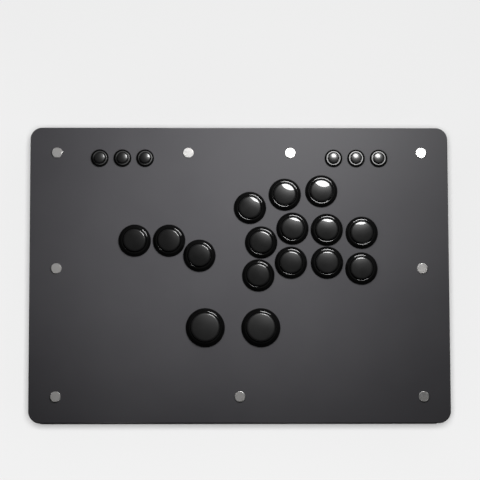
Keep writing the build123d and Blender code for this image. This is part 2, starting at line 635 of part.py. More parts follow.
with BuildPart() as usb_socket:
    mouth = Plane(origin=(0, CASE_DEPTH / 2 - RECESS_DEPTH, SOCKET_LEVEL), x_dir=(1, 0, 0), z_dir=(0, -1, 0))
    width, depth, height = SOCKET_SIZE
    tongue_end = depth - SOCKET_BACK + TONGUE_SUNK
    with BuildSketch(mouth):
        RectangleRounded(width, height, SOCKET_CORNER)
        offset(amount=-SOCKET_WALL, mode=Mode.SUBTRACT)
    extrude(amount=depth - SOCKET_BACK)
    with BuildSketch(mouth.offset(depth - SOCKET_BACK)):
        RectangleRounded(width, height, SOCKET_CORNER)
    extrude(amount=SOCKET_BACK)
    with BuildSketch(mouth.offset(TONGUE_SETBACK)):
        Rectangle(*SOCKET_TONGUE)
    extrude(amount=tongue_end - TONGUE_SETBACK)
save(usb_socket.part, "usb_socket")


# ---------------------------------------------------------------- wires
def wire(points, radius):
    """One insulated wire along straight runs joined by arcs as large as the runs allow."""
    route = [Vector(*p) for p in points]
    radii = []
    for before, corner, after in zip(route, route[1:], route[2:]):
        turn = math.radians((corner - before).get_angle(after - corner))
        shorter = min((corner - before).length, (after - corner).length)
        radii.append(min(WIDEST_BEND, BEND_SHARE * shorter / math.tan(turn / 2)))
    with BuildPart() as tube:
        with BuildLine() as path:
            FilletPolyline(*points, radius=radii)
        with BuildSketch(Plane(origin=path.line @ 0, z_dir=path.line % 0)):
            Circle(radius)
        sweep()
    return tube.part


def signal_route(x, y, step, lane, pin):
    """From the front blade's sleeve down to the wire level, back along its own lane and into its pin."""
    start_y = y - BLADE_OFFSET
    lane_x = x + step
    reach = max(SHORTEST_REACH, abs(step) + 1)
    return [
        (x, start_y, SLEEVE_BOTTOM), (x, start_y, PLAY_DROP), (lane_x, start_y + reach, WIRE_LEVEL),
        (lane_x, lane, WIRE_LEVEL), (pin, lane, WIRE_LEVEL), (pin, BOARD_FRONT - PLUG_OUTSIDE, WIRE_LEVEL),
    ]


def lanes(buttons, pins):
    """Pairs each button with a pin and a lane, the outermost wire nearest the board."""
    order = sorted(buttons, key=lambda b: -abs(b[1] + b[3]))
    return [(b, FIRST_LANE - LANE_PITCH * n, pin) for n, (b, pin) in enumerate(zip(order, pins))]


RIGHT_GROUP = [b for b in PLAY_BUTTONS if b[1] > 0]
LEFT_GROUP = [b for b in PLAY_BUTTONS if b[1] < 0]
GROUND_STEP = 4.0
SIDE_BY_SIDE = 0.8
LUG_SIDE_BY_SIDE = 0.7

signal_tubes = []
for (_, x, y, step), lane, pin in lanes(RIGHT_GROUP, RIGHT_PINS):
    signal_tubes.append(wire(signal_route(x, y, step, lane, pin), WIRE_RADIUS))
for (_, x, y, step), lane, pin in lanes(LEFT_GROUP, LEFT_PINS[1:]):
    signal_tubes.append(wire(signal_route(x, y, step, lane - LANE_PITCH, pin), WIRE_RADIUS))

left_x, left_y = MOVE_BUTTONS[0][1:3]
ground_lane = left_x - GROUND_STEP
left_start = left_x - SIDE_BY_SIDE
start_y = left_y + BLADE_OFFSET
signal_tubes.append(wire([
    (left_start, start_y, SLEEVE_BOTTOM), (left_start, start_y, PLAY_DROP),
    (ground_lane, start_y + GROUND_REACH, WIRE_LEVEL), (ground_lane, FIRST_LANE, WIRE_LEVEL),
    (LEFT_PINS[0], FIRST_LANE, WIRE_LEVEL), (LEFT_PINS[0], BOARD_FRONT - PLUG_OUTSIDE, WIRE_LEVEL),
], WIRE_RADIUS))

for side in (-1, 1):
    face = side * (BOARD_SIZE[0] / 2 + PLUG_OUTSIDE)
    near_first = sorted([x for _, x, _ in OPTIONS if x * side > 0], key=abs)
    for x, pin_y in zip(near_first, SIDE_PINS):
        lug_y = OPTION_Y - OPTION.lug_offset
        signal_tubes.append(wire([
            (x, lug_y, OPTION_SLEEVE_BOTTOM), (x, lug_y, LUG_DROP),
            (x - side * LUG_REACH, pin_y, WIRE_LEVEL), (face, pin_y, WIRE_LEVEL),
        ], WIRE_RADIUS))
    far = near_first[-1]
    lug_y = OPTION_Y + OPTION.lug_offset
    start = far + side * LUG_SIDE_BY_SIDE
    corner_x = far + side * LUG_GROUND_REACH[0]
    signal_tubes.append(wire([
        (start, lug_y, OPTION_SLEEVE_BOTTOM), (start, lug_y, LUG_GROUND_DROP),
        (corner_x, lug_y - LUG_GROUND_REACH[1], WIRE_LEVEL), (corner_x, SIDE_PINS[-1], WIRE_LEVEL),
        (face, SIDE_PINS[-1], WIRE_LEVEL),
    ], WIRE_RADIUS))

with BuildPart() as signal_wires:
    for tube in signal_tubes:
        add(tube)
save(signal_wires.part, "signal_wires")

# Ground jumpers run from one rear blade to the next. Each leaves on one side of its blade and arrives on one
# side of the next (+1 or -1); a bend point keeps clear of a signal wire on the way.
AT = {name: (x, y + BLADE_OFFSET) for name, x, y, _ in PLAY_BUTTONS}
CHAIN = [
    ("left", 1, "down", -1, []), ("down", 1, "right", -1, []), ("right", 1, "thumb_left", -1, [(-42.0, 4.0)]),
    ("thumb_left", 1, "thumb_right", -1, []), ("thumb_right", 1, "low_1", -1, [(25.0, -8.0)]),
    ("low_1", 1, "low_2", -1, []), ("low_2", 1, "low_3", -1, []), ("low_3", 1, "low_4", -1, []),
    ("low_4", 1, "mid_4", 1, [(112.0, 26.0)]), ("mid_4", -1, "mid_3", 1, []), ("mid_3", -1, "mid_2", 1, []),
    ("mid_2", -1, "mid_1", 1, []), ("mid_1", -1, "top_1", -1, [(2.5, 46.0)]), ("top_1", 1, "top_2", -1, []),
    ("top_2", 1, "top_3", -1, []),
]

with BuildPart() as ground_wires:
    for first, leave, second, arrive, bends in CHAIN:
        x1, y1 = AT[first][0] + leave * SIDE_BY_SIDE, AT[first][1]
        x2, y2 = AT[second][0] + arrive * SIDE_BY_SIDE, AT[second][1]
        middle = [(x, y, JUMPER_LEVEL) for x, y in bends]
        add(wire([
            (x1, y1, SLEEVE_BOTTOM), (x1, y1, JUMPER_LEVEL), *middle, (x2, y2, JUMPER_LEVEL),
            (x2, y2, SLEEVE_BOTTOM),
        ], WIRE_RADIUS))
    for (_, x1, y1), (_, x2, y2) in [(OPTIONS[n], OPTIONS[n + 1]) for n in (0, 1, 3, 4)]:
        lug_y = y1 + OPTION.lug_offset
        left, right = x1 + LUG_SIDE_BY_SIDE, x2 - LUG_SIDE_BY_SIDE
        add(wire([
            (left, lug_y, OPTION_SLEEVE_BOTTOM), (left, lug_y, LUG_JUMPER_LEVEL),
            (right, lug_y, LUG_JUMPER_LEVEL), (right, lug_y, OPTION_SLEEVE_BOTTOM),
        ], WIRE_RADIUS))
save(ground_wires.part, "ground_wires")
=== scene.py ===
"""Looks of the arcade control panel: materials, wiring, circuit board detail, floor, light and camera.

Everything stands in the CAD model's frame: +X to the player's right, +Y away from the player, +Z up, origin
on the desk under the middle of the plate. Lights and camera are in metres. Profiles, routes and other sizes
of parts are in millimetres, and MM turns them into metres.
"""

import math
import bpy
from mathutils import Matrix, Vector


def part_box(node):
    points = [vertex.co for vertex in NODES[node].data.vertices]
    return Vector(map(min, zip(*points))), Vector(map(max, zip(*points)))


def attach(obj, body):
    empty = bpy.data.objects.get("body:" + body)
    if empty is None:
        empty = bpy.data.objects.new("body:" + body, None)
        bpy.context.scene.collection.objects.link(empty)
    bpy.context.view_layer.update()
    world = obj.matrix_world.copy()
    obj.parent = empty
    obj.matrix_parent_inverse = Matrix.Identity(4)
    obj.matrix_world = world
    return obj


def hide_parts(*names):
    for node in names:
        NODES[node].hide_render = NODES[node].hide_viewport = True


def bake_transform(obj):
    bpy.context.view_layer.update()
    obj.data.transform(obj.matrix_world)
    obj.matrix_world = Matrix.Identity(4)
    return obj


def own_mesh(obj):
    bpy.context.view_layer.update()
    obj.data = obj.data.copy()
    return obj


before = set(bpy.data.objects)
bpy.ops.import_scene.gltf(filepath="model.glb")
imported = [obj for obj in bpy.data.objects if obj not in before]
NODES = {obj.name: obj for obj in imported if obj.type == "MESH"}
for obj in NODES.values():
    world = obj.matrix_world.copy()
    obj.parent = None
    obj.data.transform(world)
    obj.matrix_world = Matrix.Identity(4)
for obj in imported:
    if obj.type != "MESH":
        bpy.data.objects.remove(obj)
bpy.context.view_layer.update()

from types import SimpleNamespace

import bmesh
import bpy
from mathutils import Matrix, Vector

MM = 0.001
PLATE_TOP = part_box("top_panel")[1].z
PLUNGERS = [n for n in NODES if n.startswith("plunger_")]
HOUSINGS = [n for n in NODES if n.startswith("housing_")]
OPTION_PLUNGERS = [n for n in PLUNGERS if n.startswith("plunger_option_")]


# ---------------------------------------------------------------- material helpers
class Look:
    """A node material: one Principled shader, with short calls that put texture nodes before it."""

    def __init__(self, name, **sockets):
        self.material = bpy.data.materials.new(name)
        self.material.use_nodes = True
        self.tree = self.material.node_tree
        self.shader = self.tree.nodes["Principled BSDF"]
        self.coordinates = self.node("ShaderNodeTexCoord").outputs["Object"]
        for socket, value in sockets.items():
            self.shader.inputs[socket.replace("_", " ")].default_value = value

    def node(self, kind, settings=None, **sockets):
        made = self.tree.nodes.new(kind)
        for key, value in (settings or {}).items():
            setattr(made, key, value)
        for socket, value in sockets.items():
            self.feed(made.inputs[socket.replace("_", " ")], value)
        return made

    def feed(self, socket, value):
        if isinstance(value, bpy.types.NodeSocket):
            self.tree.links.new(value, socket)
        else:
            socket.default_value = value

    def noise(self, scale, detail=3.0, stretch=None):
        """Noise from 0 to 1 at a scale per metre, squeezed along each axis by stretch."""
        vector = self.coordinates
        if stretch:
            vector = self.node("ShaderNodeMapping", Vector=vector, Scale=stretch).outputs[0]
        made = self.node("ShaderNodeTexNoise", Vector=vector, Scale=scale, Detail=detail, Roughness=0.55)
        return made.outputs["Fac"]

    def ramp(self, value, low, high, to_low=0.0, to_high=1.0):
        """Maps low..high of a value onto to_low..to_high, held beyond the ends."""
        made = self.node("ShaderNodeMapRange", Value=value)
        for socket, number in zip(("From Min", "From Max", "To Min", "To Max"), (low, high, to_low, to_high)):
            made.inputs[socket].default_value = number
        return made.outputs[0]

    def mix(self, factor, first, second):
        """A colour between two colours."""
        made = self.node("ShaderNodeMix", {"data_type": "RGBA"})
        self.feed(made.inputs[0], factor)
        self.feed(made.inputs[6], first)
        self.feed(made.inputs[7], second)
        return made.outputs[2]

    def maths(self, operation, first, second=0.0):
        made = self.node("ShaderNodeMath", {"operation": operation})
        self.feed(made.inputs[0], first)
        self.feed(made.inputs[1], second)
        return made.outputs[0]

    def set(self, socket, value):
        self.feed(self.shader.inputs[socket], value)

    def bump(self, height, distance, strength=1.0):
        """Adds relief; a second call lies on top of the first."""
        made = self.node("ShaderNodeBump", Height=height, Distance=distance, Strength=strength)
        before = self.shader.inputs["Normal"].links
        if before:
            self.tree.links.new(before[0].from_socket, made.inputs["Normal"])
        self.tree.links.new(made.outputs[0], self.shader.inputs["Normal"])


def grey(value, warmth=0.0):
    """An RGBA grey, a little warmer or cooler than neutral."""
    return (value * (1 + warmth), value, value * (1 - warmth), 1.0)


def satin_plate():
    """Black anodised aluminium: a fine grain, faint clouds, and a painted edge highlight, paler colour along
    the edges, broken into patches like rubbed metal.
    """
    look = Look("satin_plate", Specular_IOR_Level=0.16)
    grain = look.noise(9000, 2.0)
    cloud = look.noise(14, 4.0)
    finish = look.mix(look.ramp(cloud, 0.3, 0.7), (0.0285, 0.0278, 0.0305, 1), (0.0325, 0.0318, 0.0345, 1))
    # Painted edge highlight: the base colour turns paler grey along the plate's edges, in cloud-shaped
    # patches that also read as rubbed metal.
    rim = look.node("ShaderNodeBevel", {"samples": 4}, Radius=0.0006).outputs[0]
    turn = look.node("ShaderNodeVectorMath", {"operation": "DOT_PRODUCT"})
    look.feed(turn.inputs[0], rim)
    look.feed(turn.inputs[1], look.node("ShaderNodeNewGeometry").outputs["Normal"])
    edge = look.ramp(turn.outputs["Value"], 0.995, 0.9)
    edge_highlight_and_wear = look.maths("MULTIPLY", edge, look.ramp(cloud, 0.45, 0.62))
    look.set("Base Color", look.mix(edge_highlight_and_wear, finish, grey(0.12, 0.01)))
    unevenness = look.maths("ADD", cloud, look.maths("MULTIPLY", grain, 0.5))
    look.set("Roughness", look.ramp(unevenness, 0.4, 1.1, 0.43, 0.49))
    look.bump(grain, 0.00001, 0.25)
    return look.material


def gloss_button(name, base, roughness, body, polish, polish_roughness=0.05, relief=0.1):
    """Black button plastic: a satin body under a polished skin, dulled a little where fingers rub."""
    look = Look(name, Specular_IOR_Level=body, Coat_Weight=polish, Coat_Roughness=polish_roughness)
    smear = look.noise(60, 4.0)
    look.set("Base Color", look.mix(look.ramp(smear, 0.3, 0.7), grey(base), grey(base * 1.4)))
    look.set("Roughness", look.ramp(smear, 0.3, 0.75, roughness - 0.04, roughness + 0.05))
    look.bump(look.noise(500, 2.0), 0.000003, relief)
    return look.material


def nickel_disc():
    """Bare nickel plating with faint brushing and a thin uneven tarnish."""
    look = Look("nickel_disc", Metallic=1.0)
    tarnish = look.noise(160, 4.0)
    scratch = look.noise(1400, 2.0, stretch=(1.0, 9.0, 1.0))
    look.set("Base Color", look.mix(look.ramp(tarnish, 0.35, 0.7), grey(0.475, 0.01), grey(0.44, 0.03)))
    look.set("Roughness", look.ramp(look.maths("ADD", tarnish, scratch), 0.7, 1.3, 0.27, 0.34))
    look.bump(scratch, 0.000002, 0.3)
    return look.material


def moulded(name, colour, roughness=0.55, grain=1800, depth=0.00004):
    """Moulded plastic with a spark-eroded texture."""
    look = Look(name)
    texture = look.noise(grain, 3.0)
    cloud = look.noise(30, 3.0)
    darker = tuple(c * 0.8 for c in colour[:3]) + (1.0,)
    look.set("Base Color", look.mix(look.ramp(cloud, 0.3, 0.7), darker, colour))
    look.set("Roughness", look.ramp(texture, 0.3, 0.7, roughness - 0.06, roughness + 0.06))
    look.bump(texture, depth, 0.5)
    return look.material


def metal(name, colour, roughness=0.3):
    """Plated or turned metal with fine marks."""
    look = Look(name, Metallic=1.0)
    marks = look.noise(1200, 3.0)
    stain = look.noise(120, 3.0)
    darker = tuple(c * 0.8 for c in colour[:3]) + (1.0,)
    look.set("Base Color", look.mix(look.ramp(stain, 0.35, 0.7), colour, darker))
    look.set("Roughness", look.ramp(marks, 0.3, 0.7, roughness - 0.08, roughness + 0.1))
    look.bump(marks, 0.00001, 0.4)
    return look.material


def powder_coat():
    """Powder coated steel, with its orange peel."""
    look = Look("powder_coat")
    orange_peel = look.noise(700, 2.0)
    look.set("Base Color", look.mix(look.noise(40), grey(0.02), grey(0.028)))
    look.set("Roughness", look.ramp(orange_peel, 0.3, 0.7, 0.42, 0.55))
    look.bump(orange_peel, 0.00005, 0.6)
    return look.material


def rubber():
    """Soft black rubber holding a little dust."""
    look = Look("foot_rubber")
    dust = look.noise(400, 4.0)
    look.set("Base Color", look.mix(look.ramp(dust, 0.5, 0.75), grey(0.012), grey(0.04, 0.03)))
    look.set("Roughness", look.ramp(dust, 0.3, 0.7, 0.7, 0.9))
    look.bump(dust, 0.00004, 0.5)
    return look.material


def board_mask():
    """Green solder mask over woven laminate."""
    look = Look("board_mask")
    weave = look.node("ShaderNodeTexChecker", Vector=look.coordinates, Scale=1100.0).outputs["Fac"]
    look.set("Base Color", look.mix(look.noise(220), (0.008, 0.10, 0.045, 1), (0.012, 0.14, 0.06, 1)))
    look.set("Roughness", look.ramp(look.noise(300), 0.3, 0.7, 0.22, 0.34))
    look.bump(weave, 0.00001, 0.15)
    return look.material


def insulation(name, colour, roughness=0.38):
    """Drawn plastic round a wire."""
    look = Look(name)
    streak = look.noise(500, 2.0)
    darker = tuple(c * 0.82 for c in colour[:3]) + (1.0,)
    look.set("Base Color", look.mix(look.ramp(streak, 0.3, 0.7), darker, colour))
    look.set("Roughness", look.ramp(streak, 0.3, 0.7, roughness - 0.06, roughness + 0.08))
    look.bump(streak, 0.00002, 0.3)
    return look.material


def dress(material, *names):
    """Gives CAD nodes one material."""
    for name in names:
        slots = NODES[name].data.materials
        slots.clear()
        slots.append(material)


dress(satin_plate(), "top_panel")
nickel = nickel_disc()
dress(nickel, "panel_magnets", "case_magnets")
dress(moulded("case_plastic", grey(0.018)), "case_frame")
dress(powder_coat(), "base_plate")
dress(metal("zinc_screw", grey(0.5), 0.32), "base_screws", "board_screws", "option_nuts")
dress(rubber(), "rubber_feet")
dress(moulded("switch_plastic", grey(0.03), 0.5, 2500, 0.00002), "microswitches")
dress(metal("tinned_brass", (0.78, 0.66, 0.38, 1), 0.28), "switch_terminals", "board_spacers")
dress(insulation("sleeve_red", (0.42, 0.015, 0.012, 1), 0.3), "terminal_sleeves")
dress(board_mask(), "encoder_board")
dress(moulded("chip_epoxy", grey(0.02), 0.5, 4000, 0.00001), "board_chips")
dress(moulded("nylon", (0.72, 0.69, 0.6, 1), 0.4, 2500, 0.00001), "board_headers", "harness_plugs")
dress(metal("socket_shell", grey(0.6), 0.25), "usb_socket")


# ---------------------------------------------------------------- meshes
def put_in_scene(name, data):
    """A new object in the scene, from a mesh, curve, light or camera."""
    made = bpy.data.objects.new(name, data)
    bpy.context.scene.collection.objects.link(made)
    return made


def finished(name, made):
    """The mesh that a bmesh was built up to."""
    mesh = bpy.data.meshes.new(name)
    made.to_mesh(mesh)
    made.free()
    return mesh


def piece(name, mesh, body, replaces=(), materials=()):
    """A finished mesh as a piece of the object."""
    for material in materials:
        mesh.materials.append(material)
    made = put_in_scene(name, mesh)
    if replaces:
        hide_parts(*replaces)
    if body:
        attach(made, body)
    return made


def smooth(mesh, angle=30.0):
    """Smooth shading with crisp edges where faces meet at more than this angle."""
    mesh.polygons.foreach_set("use_smooth", [True] * len(mesh.polygons))
    mesh.set_sharp_from_angle(angle=math.radians(angle))


def lathe(name, profile, x, y, level, segments=144):
    """Turns a profile of (radius, height) about the upright line at x, y, above a level.

    The profile runs from axis to axis, or round a closed loop. Its lengths are millimetres, the rest metres.
    """
    made = bmesh.new()
    rings = []
    for radius, height in profile:
        if radius == 0:
            rings.append([made.verts.new((x, y, level + height * MM))])
            continue
        ring = []
        for step in range(segments):
            angle = math.tau * step / segments
            around = (x + radius * MM * math.cos(angle), y + radius * MM * math.sin(angle))
            ring.append(made.verts.new((*around, level + height * MM)))
        rings.append(ring)
    if profile[0][0] != 0:
        rings.append(rings[0])
    for upper, lower in zip(rings, rings[1:]):
        for step in range(segments):
            after = (step + 1) % segments
            if len(upper) == 1:
                made.faces.new((upper[0], lower[step], lower[after]))
            elif len(lower) == 1:
                made.faces.new((upper[step], lower[0], upper[after]))
            else:
                made.faces.new((upper[step], lower[step], lower[after], upper[after]))
    mesh = finished(name, made)
    smooth(mesh)
    return mesh


def arc(centre, radius, start, end, steps):
    """Points of an arc in the profile's plane, angles in degrees from the radius axis."""
    angles = [math.radians(start + (end - start) * n / steps) for n in range(steps + 1)]
    return [(centre[0] + radius * math.cos(a), centre[1] + radius * math.sin(a)) for a in angles]


def tube(name, points, radius, resolution=12, sides=5):
    """A round tube along the smooth NURBS line that these points, in millimetres, pull into shape."""
    curve = bpy.data.curves.new(name, "CURVE")
    curve.dimensions = "3D"
    spline = curve.splines.new("NURBS")
    spline.points.add(len(points) - 1)
    for made, place in zip(spline.points, points):
        made.co = (*[c * MM for c in place], 1)
    spline.order_u = 3
    spline.use_endpoint_u = True
    spline.resolution_u = resolution
    curve.bevel_depth = radius * MM
    curve.bevel_resolution = sides
    curve.use_fill_caps = True
    line = put_in_scene(name, curve)
    mesh = bpy.data.meshes.new_from_object(line.evaluated_get(bpy.context.evaluated_depsgraph_get()))
    bpy.data.objects.remove(line)
    bpy.data.curves.remove(curve)
    return mesh


def bundle(name, parts):
    """One mesh from several meshes; each goes to the material slot given with it."""
    made = bmesh.new()
    for mesh, slot in parts:
        before = len(made.faces)
        made.from_mesh(mesh)
        made.faces.ensure_lookup_table()
        for face in made.faces[before:]:
            face.material_index = slot
        bpy.data.meshes.remove(mesh)
    joined = finished(name, made)
    smooth(joined, 50.0)
    return joined


# ---------------------------------------------------------------- buttons
# Radii and heights of each size in millimetres, heights from the plate's top face.
SMALL = SimpleNamespace(
    flange=13.9, crest=10.8, flat=0.1, crest_height=3.6, lip=1.3, mouth=9.85, barrel=11.9, bore=10.45,
    cap=9.6, collar=10.2, collar_thick=2.0, crown=6.6, dome=70.0, shoulder=1.4, clip_reach=13.0,
)
LARGE = SimpleNamespace(
    flange=16.7, crest=13.1, flat=0.1, crest_height=3.9, lip=1.3, mouth=12.6, barrel=14.9, bore=13.3,
    cap=12.35, collar=13.05, collar_thick=2.0, crown=7.0, dome=90.0, shoulder=1.6, clip_reach=16.0,
)
OPTION = SimpleNamespace(
    flange=7.6, crest=5.35, flat=0.45, crest_height=2.1, lip=0.5, mouth=4.85, barrel=5.9, bore=5.2,
    cap=4.6, collar=5.0, collar_thick=2.3, crown=5.2, dome=17.0, shoulder=0.9, depth=18.0, cap_depth=8.0,
)
FLANGE_EDGE = 0.9
MOUTH_EDGE = 0.2
BARREL_DEPTH = 21.0
COLLAR_GAP = 0.1
CAP_THICK = 1.8
SKIRT_DEPTH = 7.0
SKIRT_WALL = 1.5
STEM_RADIUS = 1.3
STEM_DEPTH = 13.2
CLIP_WIDTH = 7.0
CLIP_TOP = -4.1
CLIP_CATCH = 1.0
CLIP_RAMP = 5.0
CLIP_SLOT = 1.0
CLIP_SLOT_HEIGHT = 13.0
CLIP_ROOT = 0.3  # how far a clip starts inside the barrel's wall
CLIP_PLAY = 0.2  # extra gap beside a clip
SECTOR_STEPS = 16
THREAD_START = -4.8
THREAD_GROOVES = 7
THREAD_DEPTH = 0.25
GROOVE_HEIGHT = 0.4
OPTION_FLOOR = 2.0


def bezel_profile(size):
    """From the mouth up over the narrow crest and down the cone to the flange's foot."""
    inward = math.degrees(math.asin((size.crest - size.mouth - MOUTH_EDGE) / size.lip))
    inner = (size.crest, size.crest_height - size.lip)
    outer = (size.crest + size.flat, inner[1])
    run, drop = size.flange - outer[0], FLANGE_EDGE - outer[1]
    tangent = math.degrees(math.atan2(drop, run) + math.acos(size.lip / math.hypot(run, drop)))
    lip = arc(inner, size.lip, 90 + inward, 90, 8)
    return (
        [(size.mouth, 0), (size.mouth, lip[0][1] - MOUTH_EDGE)] + lip + arc(outer, size.lip, 90, tangent, 10)
        + [(size.flange, FLANGE_EDGE), (size.flange, 0)]
    )


def sector(name, outline, start, end):
    """A closed outline of (radius, height) swept through part of a turn, with flat ends."""
    made = bmesh.new()
    slices = []
    for step in range(SECTOR_STEPS + 1):
        angle = math.radians(start + (end - start) * step / SECTOR_STEPS)
        ahead, aside = math.cos(angle), math.sin(angle)
        slices.append([made.verts.new((r * MM * ahead, r * MM * aside, h * MM)) for r, h in outline])
    for near, far in zip(slices, slices[1:]):
        for n in range(len(outline)):
            after = (n + 1) % len(outline)
            made.faces.new((near[n], near[after], far[after], far[n]))
    made.faces.new(slices[0][::-1])
    made.faces.new(slices[-1])
    bmesh.ops.recalc_face_normals(made, faces=made.faces)
    return finished(name, made)


def block(name, low, high):
    """A box between two corners, in millimetres."""
    made = bmesh.new()
    bmesh.ops.create_cube(made, size=1.0)
    for vertex in made.verts:
        vertex.co = [((a + b) / 2 + c * (b - a)) * MM for a, b, c in zip(low, high, vertex.co)]
    return finished(name, made)


def carve(mesh, changes):
    """The mesh after adding (UNION) or cutting (DIFFERENCE) other meshes."""
    base = put_in_scene("carving", mesh)
    tools = []
    for operation, other in changes:
        tool = put_in_scene("carver", other)
        tools.append(tool)
        modifier = base.modifiers.new("carve", "BOOLEAN")
        modifier.operation = operation
        modifier.solver = "EXACT"
        modifier.object = tool
    bpy.context.view_layer.update()
    carved = bpy.data.meshes.new_from_object(base.evaluated_get(bpy.context.evaluated_depsgraph_get()))
    for thing in [base, *tools]:
        bpy.data.objects.remove(thing)
    smooth(carved)
    return carved


def housing_mesh(size):
    """Bezel and barrel, with two sprung clips between slots."""
    ring = bezel_profile(size) + [
        (size.barrel, 0), (size.barrel, -BARREL_DEPTH), (size.bore, -BARREL_DEPTH), (size.bore, 0),
    ]
    root = size.barrel - CLIP_ROOT
    reach = math.degrees(CLIP_WIDTH / 2 / size.barrel)
    catch = [
        (root, CLIP_TOP), (size.clip_reach, CLIP_TOP), (size.clip_reach, CLIP_TOP - CLIP_CATCH),
        (root, CLIP_TOP - CLIP_CATCH - CLIP_RAMP),
    ]
    slot_y = (CLIP_WIDTH + CLIP_SLOT) / 2 + CLIP_PLAY
    slot_top = CLIP_TOP + CLIP_CATCH
    changes = [("UNION", sector("clip", catch, side - reach, side + reach)) for side in (0, 180)]
    for y in (-slot_y, slot_y):
        low = (-2 * size.barrel, y - CLIP_SLOT / 2, slot_top - CLIP_SLOT_HEIGHT)
        changes.append(("DIFFERENCE", block("slot", low, (2 * size.barrel, y + CLIP_SLOT / 2, slot_top))))
    return carve(lathe("housing", ring, 0, 0, 0), changes)


def bushing_profile(size):
    """Bezel on a threaded barrel, closed at the bottom."""
    groove = size.barrel - THREAD_DEPTH
    thread = []
    for turn in range(THREAD_GROOVES):
        top = THREAD_START - turn
        under = top - GROOVE_HEIGHT
        thread += [(size.barrel, top), (groove, top), (groove, under), (size.barrel, under)]
    foot = -size.depth - OPTION_FLOOR
    return (
        [(0, -size.depth), (size.bore, -size.depth), (size.bore, 0)] + bezel_profile(size)
        + [(size.barrel, 0)] + thread + [(size.barrel, foot), (0, foot)]
    )


def cap_profile(size, below):
    """The domed top, its rounded shoulder and the collar, then what is below them."""
    centre = size.crown - size.dome
    inner = size.cap - size.shoulder
    shoulder_height = centre + math.sqrt((size.dome - size.shoulder) ** 2 - inner**2)
    meet = math.degrees(math.atan2(shoulder_height - centre, inner))
    foot = -COLLAR_GAP - size.collar_thick
    return (
        [(0, size.crown)] + arc((0, centre), size.dome, 90, meet, 14)[1:]
        + arc((inner, shoulder_height), size.shoulder, meet, 0, 10)[1:]
        + [(size.cap, -COLLAR_GAP), (size.collar, -COLLAR_GAP), (size.collar, foot), (size.cap, foot)] + below
    )


def snap_in_cap(size):
    inside = size.cap - SKIRT_WALL
    under = size.crown - size.dome + math.sqrt(size.dome**2 - size.cap**2) - CAP_THICK
    below = [
        (size.cap, -SKIRT_DEPTH), (inside, -SKIRT_DEPTH), (inside, under), (STEM_RADIUS, under),
        (STEM_RADIUS, -STEM_DEPTH), (0, -STEM_DEPTH),
    ]
    return cap_profile(size, below)


def mark_crest(mesh, size):
    """Gives the faces on the bezel's crest the second material."""
    for face in mesh.polygons:
        radius = face.center.xy.length / MM
        if face.center.z > 0 and size.mouth + MOUTH_EDGE < radius < size.crest + size.flat + size.lip / 2:
            face.material_index = 1


def centre_of(node):
    """Where a button stands, in millimetres."""
    low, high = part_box(node)
    return (low.x + high.x) / 2 / MM, (low.y + high.y) / 2 / MM


def copy_at(template, name, x, y):
    """The template moved to a button's place on the plate."""
    mesh = template.copy()
    mesh.name = name
    mesh.transform(Matrix.Translation((x * MM, y * MM, PLATE_TOP)))
    return mesh


glossy_cap = gloss_button("button_cap", 0.009, 0.29, body=0.26, polish=0.9, polish_roughness=0.03)
satin_cap = gloss_button("button_cap_satin", 0.006, 0.42, body=0.50, polish=0.8)
option_cap = gloss_button("button_cap_option", 0.006, 0.40, body=0.50, polish=0.9, polish_roughness=0.17)
flange_black = gloss_button("button_flange", 0.003, 0.34, 0.12, 0.08, polish_roughness=0.2, relief=0.02)
crest_polish = gloss_button("button_crest", 0.003, 0.14, 0.15, 1.0, polish_roughness=0.04, relief=0.02)
crest_satin = gloss_button("button_crest_satin", 0.004, 0.42, 1.0, 0.5, polish_roughness=0.25, relief=0.02)
cap_meshes = {size.cap: lathe("cap", snap_in_cap(size), 0, 0, 0) for size in (SMALL, LARGE)}
housing_meshes = {size.cap: housing_mesh(size) for size in (SMALL, LARGE)}
for size in (SMALL, LARGE):
    mark_crest(housing_meshes[size.cap], size)
below = [(OPTION.cap, -OPTION.cap_depth), (0, -OPTION.cap_depth)]
option_cap_mesh = lathe("cap", cap_profile(OPTION, below), 0, 0, 0)
bushing_mesh = lathe("bushing", bushing_profile(OPTION), 0, 0, 0)
mark_crest(bushing_mesh, OPTION)
buttons = []
for node in HOUSINGS:
    name = node.removeprefix("housing_")
    size, finish = (LARGE, satin_cap) if "thumb" in name else (SMALL, glossy_cap)
    mesh = copy_at(housing_meshes[size.cap], "bezel_" + name, *centre_of(node))
    buttons.append(piece(mesh.name, mesh, "panel", [node], [flange_black, crest_polish]))
    mesh = copy_at(cap_meshes[size.cap], "cap_" + name, *centre_of(node))
    buttons.append(piece(mesh.name, mesh, "plunger_" + name, ["plunger_" + name], [finish]))
for node in OPTION_PLUNGERS:
    name = node.removeprefix("plunger_")
    mesh = copy_at(bushing_mesh, "bushing_" + name, *centre_of(node))
    buttons.append(piece(mesh.name, mesh, "panel", ["option_bushings"], [flange_black, crest_satin]))
    mesh = copy_at(option_cap_mesh, "cap_" + name, *centre_of(node))
    buttons.append(piece(mesh.name, mesh, node, [node], [option_cap]))


# ---------------------------------------------------------------- the plate's magnets
# Sizes and places as in the CAD model, but with the edges rounded instead of bevelled. The top and bottom are
# heights from the plate's top face.
MAGNET_RADIUS = 4.5
MAGNET_EDGE = 0.35
MAGNET_RIM = 0.1  # flat ring that keeps the shading of the face level
MAGNET_TOP = 1.0
MAGNET_BOTTOM = -5.0
MAGNET_PLACES = [(x, y) for x in (-157.0, 157.0) for y in (-105.0, 5.0, 105.5)]
MAGNET_PLACES += [(-44.0, 105.5), (44.0, 105.5), (0.0, -105.0)]


